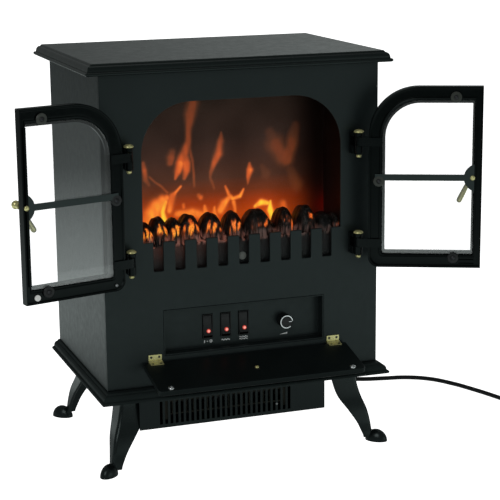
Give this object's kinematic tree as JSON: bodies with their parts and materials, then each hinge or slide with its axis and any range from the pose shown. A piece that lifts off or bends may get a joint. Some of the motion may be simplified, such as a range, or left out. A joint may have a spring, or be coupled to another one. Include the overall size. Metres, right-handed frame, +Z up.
{
  "type": "electric fireplace",
  "caption": "Stove-style electric fireplace on four legs: sheet-metal cabinet, arched glazed doors, coal-effect firebox with flame screen, drop-down control flap and fan heater.",
  "frame": {"origin": "on the floor, at the middle of the rectangle that the appliance covers with its doors and flap open as stored, the mains lead not counted", "axes": "+Z up, -Y out of the front with the doors, +X to the right seen from the front"},
  "size_m": [0.8441, 0.4402, 0.5445],
  "materials": {
    "satin_black": "satin powder coat",
    "gloss_black": "semi-gloss enamel",
    "painted_board": "moulded board, semi-gloss black paint",
    "flap_black": "semi-gloss moulding",
    "cast_black": "semi-gloss painted casting",
    "black_plastic": "fine-grained moulding",
    "brass": "bright plated",
    "steel": "mill finish",
    "chrome": "bright",
    "clear_glass": "clear polished",
    "flame_screen": "smoked, lit from behind by the flame picture",
    "coals": "rough moulded coals, lit from below",
    "red_indicator": "lit lens",
    "legend_white": "printed marks",
    "white_trim": "moulded catch",
    "lamp_glass": "lit lamp",
    "heater": "heat-stained",
    "rubber": "matte PVC"
  },
  "bodies": {
    "cabinet": {"top_board": "painted_board", "base_board": "painted_board", "front_panel": "satin_black", "back_panel": "satin_black", "left_side_panel": "satin_black", "right_side_panel": "satin_black", "control_tray": "satin_black", "outlet_apron": "satin_black", "firebox_shell": "satin_black", "front_left_leg": "cast_black", "front_right_leg": "cast_black", "back_left_leg": "cast_black", "back_right_leg": "cast_black", "switch_bank": "black_plastic", "dimmer_body": "steel", "blower_housing": "steel", "blower_motor": "steel", "spindle_motor": "steel", "lamp_holder": "steel", "heating_element": "heater", "front_screen": "clear_glass", "flame_screen": "flame_screen", "ember_bed": "coals", "flame_lamp": "lamp_glass", "left_panel_hinge_leaf": "brass", "right_panel_hinge_leaf": "brass", "left_upper_hinge_bracket": "satin_black", "left_upper_hinge_pin": "brass", "left_lower_hinge_bracket": "satin_black", "left_lower_hinge_pin": "brass", "right_upper_hinge_bracket": "satin_black", "right_upper_hinge_pin": "brass", "right_lower_hinge_bracket": "satin_black", "right_lower_hinge_pin": "brass", "strain_relief": "rubber", "mains_cord": "rubber", "cord_coil": "rubber", "mains_plug": "rubber"},
    "left_door": {"left_door_frame": "gloss_black", "left_door_glass": "clear_glass", "left_door_muntin": "satin_black", "left_upper_hinge_strap": "satin_black", "left_lower_hinge_strap": "satin_black"},
    "right_door": {"right_door_frame": "gloss_black", "right_door_glass": "clear_glass", "right_door_muntin": "satin_black", "right_upper_hinge_strap": "satin_black", "right_lower_hinge_strap": "satin_black"},
    "left_handle": {"left_door_handle": "brass"},
    "right_handle": {"right_door_handle": "brass"},
    "flap": {"control_flap": "flap_black", "flap_knob": "black_plastic", "left_flap_hinge_leaf": "brass", "right_flap_hinge_leaf": "brass"},
    "rocker_1": {"rocker_1": "black_plastic"},
    "rocker_2": {"rocker_2": "black_plastic"},
    "rocker_3": {"rocker_3": "black_plastic"},
    "dimmer": {"dimmer_knob": "black_plastic"},
    "flame_spindle": {"flame_spindle": "steel"},
    "blower_rotor": {"blower_rotor": "steel"}
  },
  "joints": [
    {"name": "left_door_hinge", "type": "hinge", "parent": "cabinet", "child": "left_door", "pos_m": [-0.15515, -0.11562, 0.38], "axis": [0, 0, 1], "range_deg": [-8, 165.5]},
    {"name": "right_door_hinge", "type": "hinge", "parent": "cabinet", "child": "right_door", "pos_m": [0.16075, -0.11562, 0.38], "axis": [0, 0, 1], "range_deg": [-155.1, 18]},
    {"name": "left_handle_turn", "type": "hinge", "parent": "left_door", "child": "left_handle", "pos_m": [-0.30056, -0.15322, 0.3807], "axis": [0.2504, -0.9681, 0], "range_deg": [-25.8, 64]},
    {"name": "right_handle_turn", "type": "hinge", "parent": "right_door", "child": "right_handle", "pos_m": [0.29699, -0.17886, 0.3807], "axis": [-0.421, -0.907, 0], "range_deg": [-64, 25.8]},
    {"name": "flap_hinge", "type": "hinge", "parent": "cabinet", "child": "flap", "pos_m": [0.00395, -0.10202, 0.1501], "axis": [-1, 0, 0], "range_deg": [0, 103.3]},
    {"name": "rocker_1_tilt", "type": "hinge", "parent": "cabinet", "child": "rocker_1", "pos_m": [-0.04365, -0.07722, 0.186], "axis": [1, 0, 0], "range_deg": [0, 16]},
    {"name": "rocker_2_tilt", "type": "hinge", "parent": "cabinet", "child": "rocker_2", "pos_m": [-0.01825, -0.07722, 0.186], "axis": [1, 0, 0], "range_deg": [0, 16]},
    {"name": "rocker_3_tilt", "type": "hinge", "parent": "cabinet", "child": "rocker_3", "pos_m": [0.00715, -0.07722, 0.186], "axis": [1, 0, 0], "range_deg": [0, 16]},
    {"name": "dimmer_turn", "type": "hinge", "parent": "cabinet", "child": "dimmer", "pos_m": [0.06435, -0.08822, 0.1842], "axis": [0, 1, 0], "range_deg": [-240, 60]},
    {"name": "flame_spindle_spin", "type": "hinge", "parent": "cabinet", "child": "flame_spindle", "pos_m": [0.00395, 0.00178, 0.3], "axis": [1, 0, 0], "continuous": true},
    {"name": "blower_rotor_spin", "type": "hinge", "parent": "cabinet", "child": "blower_rotor", "pos_m": [-0.02005, -0.04822, 0.078], "axis": [1, 0, 0], "continuous": true}
  ]
}
